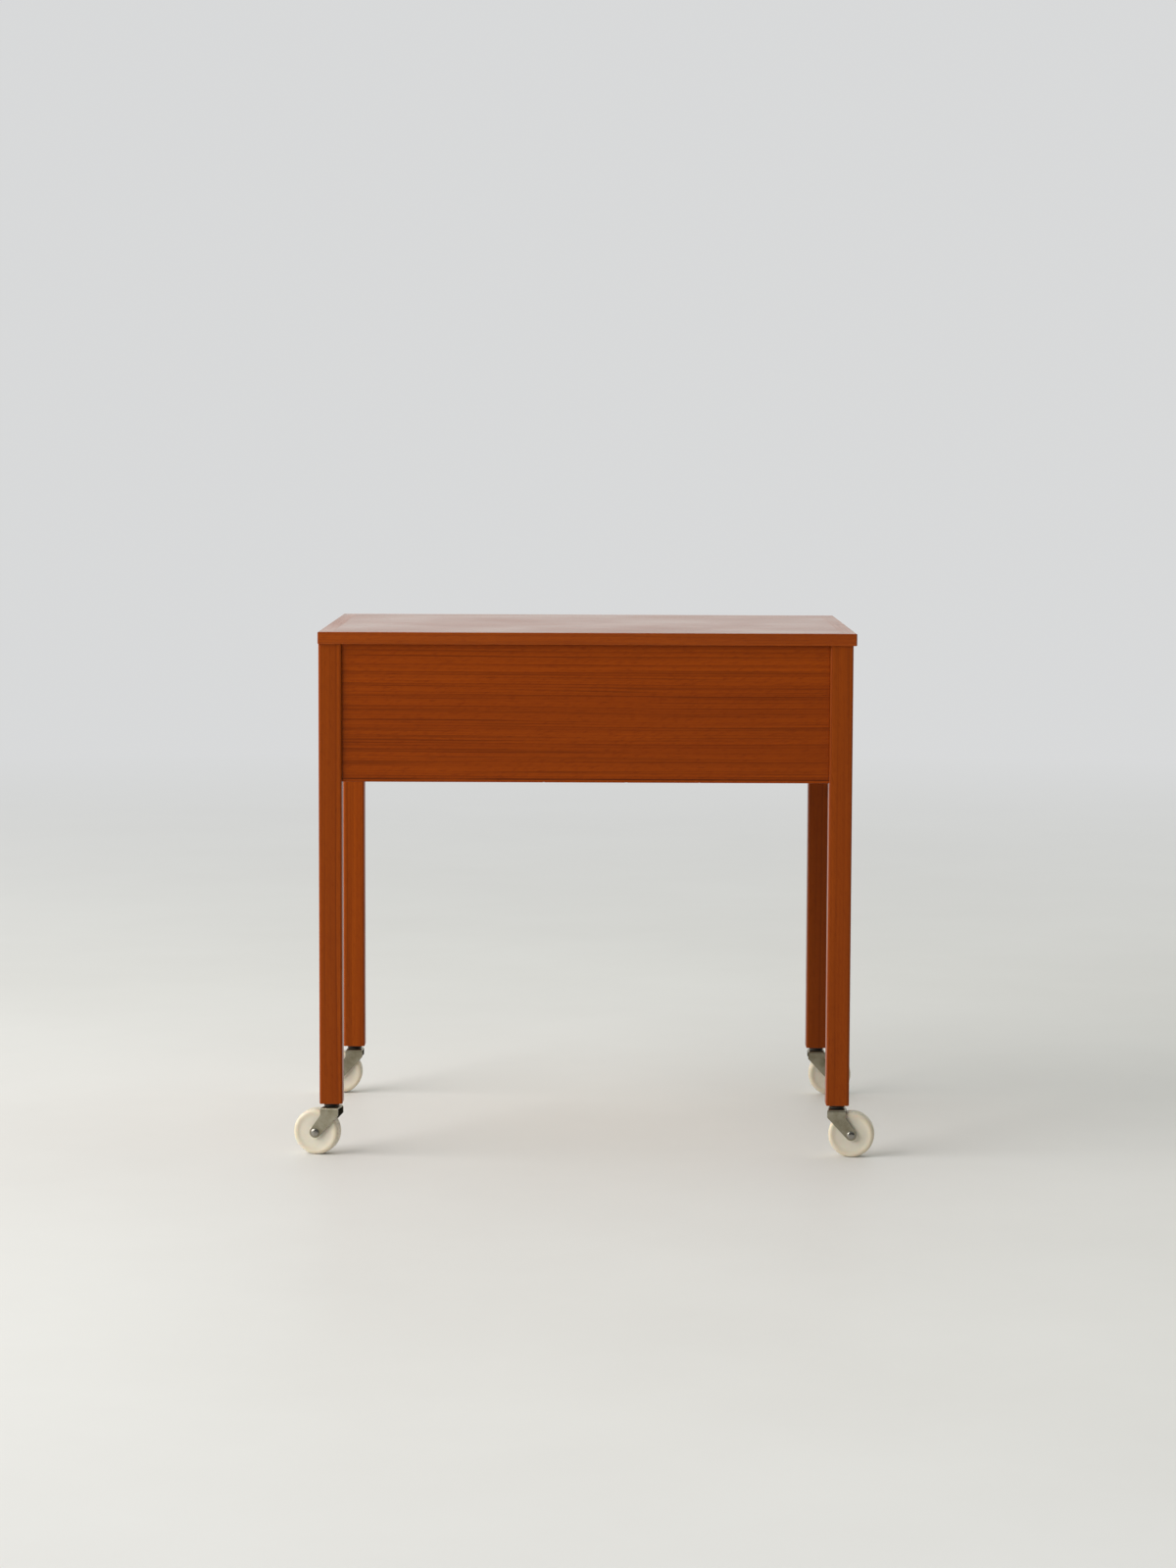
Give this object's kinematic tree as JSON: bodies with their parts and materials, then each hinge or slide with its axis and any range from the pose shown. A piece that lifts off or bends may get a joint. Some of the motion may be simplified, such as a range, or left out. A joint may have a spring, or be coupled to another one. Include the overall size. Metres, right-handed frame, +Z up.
{
  "type": "sewing table",
  "caption": "Low teak sewing table on swivel castors: a lift-up lid over a plain veneered box with a sliding tray of compartments and storage space below.",
  "frame": {"origin": "on the floor, under the middle of the table", "axes": "+Z up, +X to the right seen from the front, +Y towards the back, where the lid is hinged"},
  "size_m": [0.6337, 0.417, 0.571],
  "materials": {
    "teak_solid": "satin oiled teak, straight grain along each piece",
    "teak_veneer": "satin oiled teak veneer with fine dark streaks",
    "beech": "matt clear lacquer",
    "plywood": "bare thin birch plywood",
    "brass": "dull, lightly aged",
    "fork_steel": "dull olive-grey plated pressed steel",
    "dark_steel": "dark greased steel",
    "bright_steel": "bright plated steel",
    "nylon": "cream nylon, slightly waxy, scuffed tread"
  },
  "bodies": {
    "frame": {"leg_front_left": "teak_solid", "leg_front_right": "teak_solid", "leg_back_left": "teak_solid", "leg_back_right": "teak_solid", "front_apron": "teak_veneer", "back_apron": "teak_veneer", "left_apron": "teak_veneer", "right_apron": "teak_veneer", "bottom_board": "plywood", "front_tray_runner": "beech", "back_tray_runner": "beech", "castor_front_left_socket": "dark_steel", "castor_front_left_bearing": "dark_steel", "castor_front_left_stem": "bright_steel", "castor_front_right_socket": "dark_steel", "castor_front_right_bearing": "dark_steel", "castor_front_right_stem": "bright_steel", "castor_back_left_socket": "dark_steel", "castor_back_left_bearing": "dark_steel", "castor_back_left_stem": "bright_steel", "castor_back_right_socket": "dark_steel", "castor_back_right_bearing": "dark_steel", "castor_back_right_stem": "bright_steel", "hinge_leaf_lower_left": "brass", "hinge_leaf_lower_right": "brass", "hinge_pin_left": "brass", "hinge_pin_right": "brass", "stay_guide_screw": "brass"},
    "lid": {"lid_panel": "teak_veneer", "lid_lipping_front": "teak_solid", "lid_lipping_right": "teak_solid", "lid_lipping_back": "teak_solid", "lid_lipping_left": "teak_solid", "hinge_leaf_upper_left": "brass", "hinge_leaf_upper_right": "brass", "stay_lid_bracket": "brass"},
    "stay": {"stay_arm": "brass"},
    "tray": {"tray_floor": "plywood", "tray_left_side": "beech", "tray_right_side": "beech", "tray_front": "beech", "tray_back": "beech", "tray_long_divider": "beech", "tray_left_front_divider": "beech", "tray_left_back_divider": "beech", "tray_right_divider": "beech"},
    "fork_front_left": {"castor_front_left_fork": "fork_steel", "castor_front_left_axle": "bright_steel"},
    "wheel_front_left": {"castor_front_left_wheel": "nylon"},
    "fork_front_right": {"castor_front_right_fork": "fork_steel", "castor_front_right_axle": "bright_steel"},
    "wheel_front_right": {"castor_front_right_wheel": "nylon"},
    "fork_back_left": {"castor_back_left_fork": "fork_steel", "castor_back_left_axle": "bright_steel"},
    "wheel_back_left": {"castor_back_left_wheel": "nylon"},
    "fork_back_right": {"castor_back_right_fork": "fork_steel", "castor_back_right_axle": "bright_steel"},
    "wheel_back_right": {"castor_back_right_wheel": "nylon"}
  },
  "joints": [
    {"name": "lid_hinge", "type": "hinge", "parent": "frame", "child": "lid", "pos_m": [0, 0.2065, 0.55775], "axis": [-1, 0, 0], "range_deg": [0, 95]},
    {"name": "stay_pivot", "type": "hinge", "parent": "lid", "child": "stay", "pos_m": [0.26645, 0.13484, 0.55075], "axis": [-1, 0, 0], "range_deg": [-47.5, 0]},
    {"name": "tray_slide", "type": "slide", "parent": "frame", "child": "tray", "axis": [1, 0, 0], "range_m": [0, 0.266]},
    {"name": "castor_front_left_swivel", "type": "hinge", "parent": "frame", "child": "fork_front_left", "pos_m": [-0.2755, -0.1925, 0.053], "axis": [0, 0, 1], "continuous": true},
    {"name": "castor_front_left_roll", "type": "hinge", "parent": "fork_front_left", "child": "wheel_front_left", "pos_m": [-0.29121, -0.18945, 0.025], "axis": [-0.1908, -0.9816, 0], "continuous": true},
    {"name": "castor_front_right_swivel", "type": "hinge", "parent": "frame", "child": "fork_front_right", "pos_m": [0.2755, -0.1925, 0.053], "axis": [0, 0, 1], "continuous": true},
    {"name": "castor_front_right_roll", "type": "hinge", "parent": "fork_front_right", "child": "wheel_front_right", "pos_m": [0.29142, -0.19406, 0.025], "axis": [0.0976, 0.9952, 0], "continuous": true},
    {"name": "castor_back_left_swivel", "type": "hinge", "parent": "frame", "child": "fork_back_left", "pos_m": [-0.2755, 0.1925, 0.053], "axis": [0, 0, 1], "continuous": true},
    {"name": "castor_back_left_roll", "type": "hinge", "parent": "fork_back_left", "child": "wheel_back_left", "pos_m": [-0.29149, 0.19306, 0.025], "axis": [-0.0349, -0.9994, 0], "continuous": true},
    {"name": "castor_back_right_swivel", "type": "hinge", "parent": "frame", "child": "fork_back_right", "pos_m": [0.2755, 0.1925, 0.053], "axis": [0, 0, 1], "continuous": true},
    {"name": "castor_back_right_roll", "type": "hinge", "parent": "fork_back_right", "child": "wheel_back_right", "pos_m": [0.2915, 0.19236, 0.025], "axis": [0.0087, 1, 0], "continuous": true}
  ],
  "couplings": [
    {"joint": "stay_pivot", "follows": "lid_hinge", "ratio": -0.5}
  ]
}
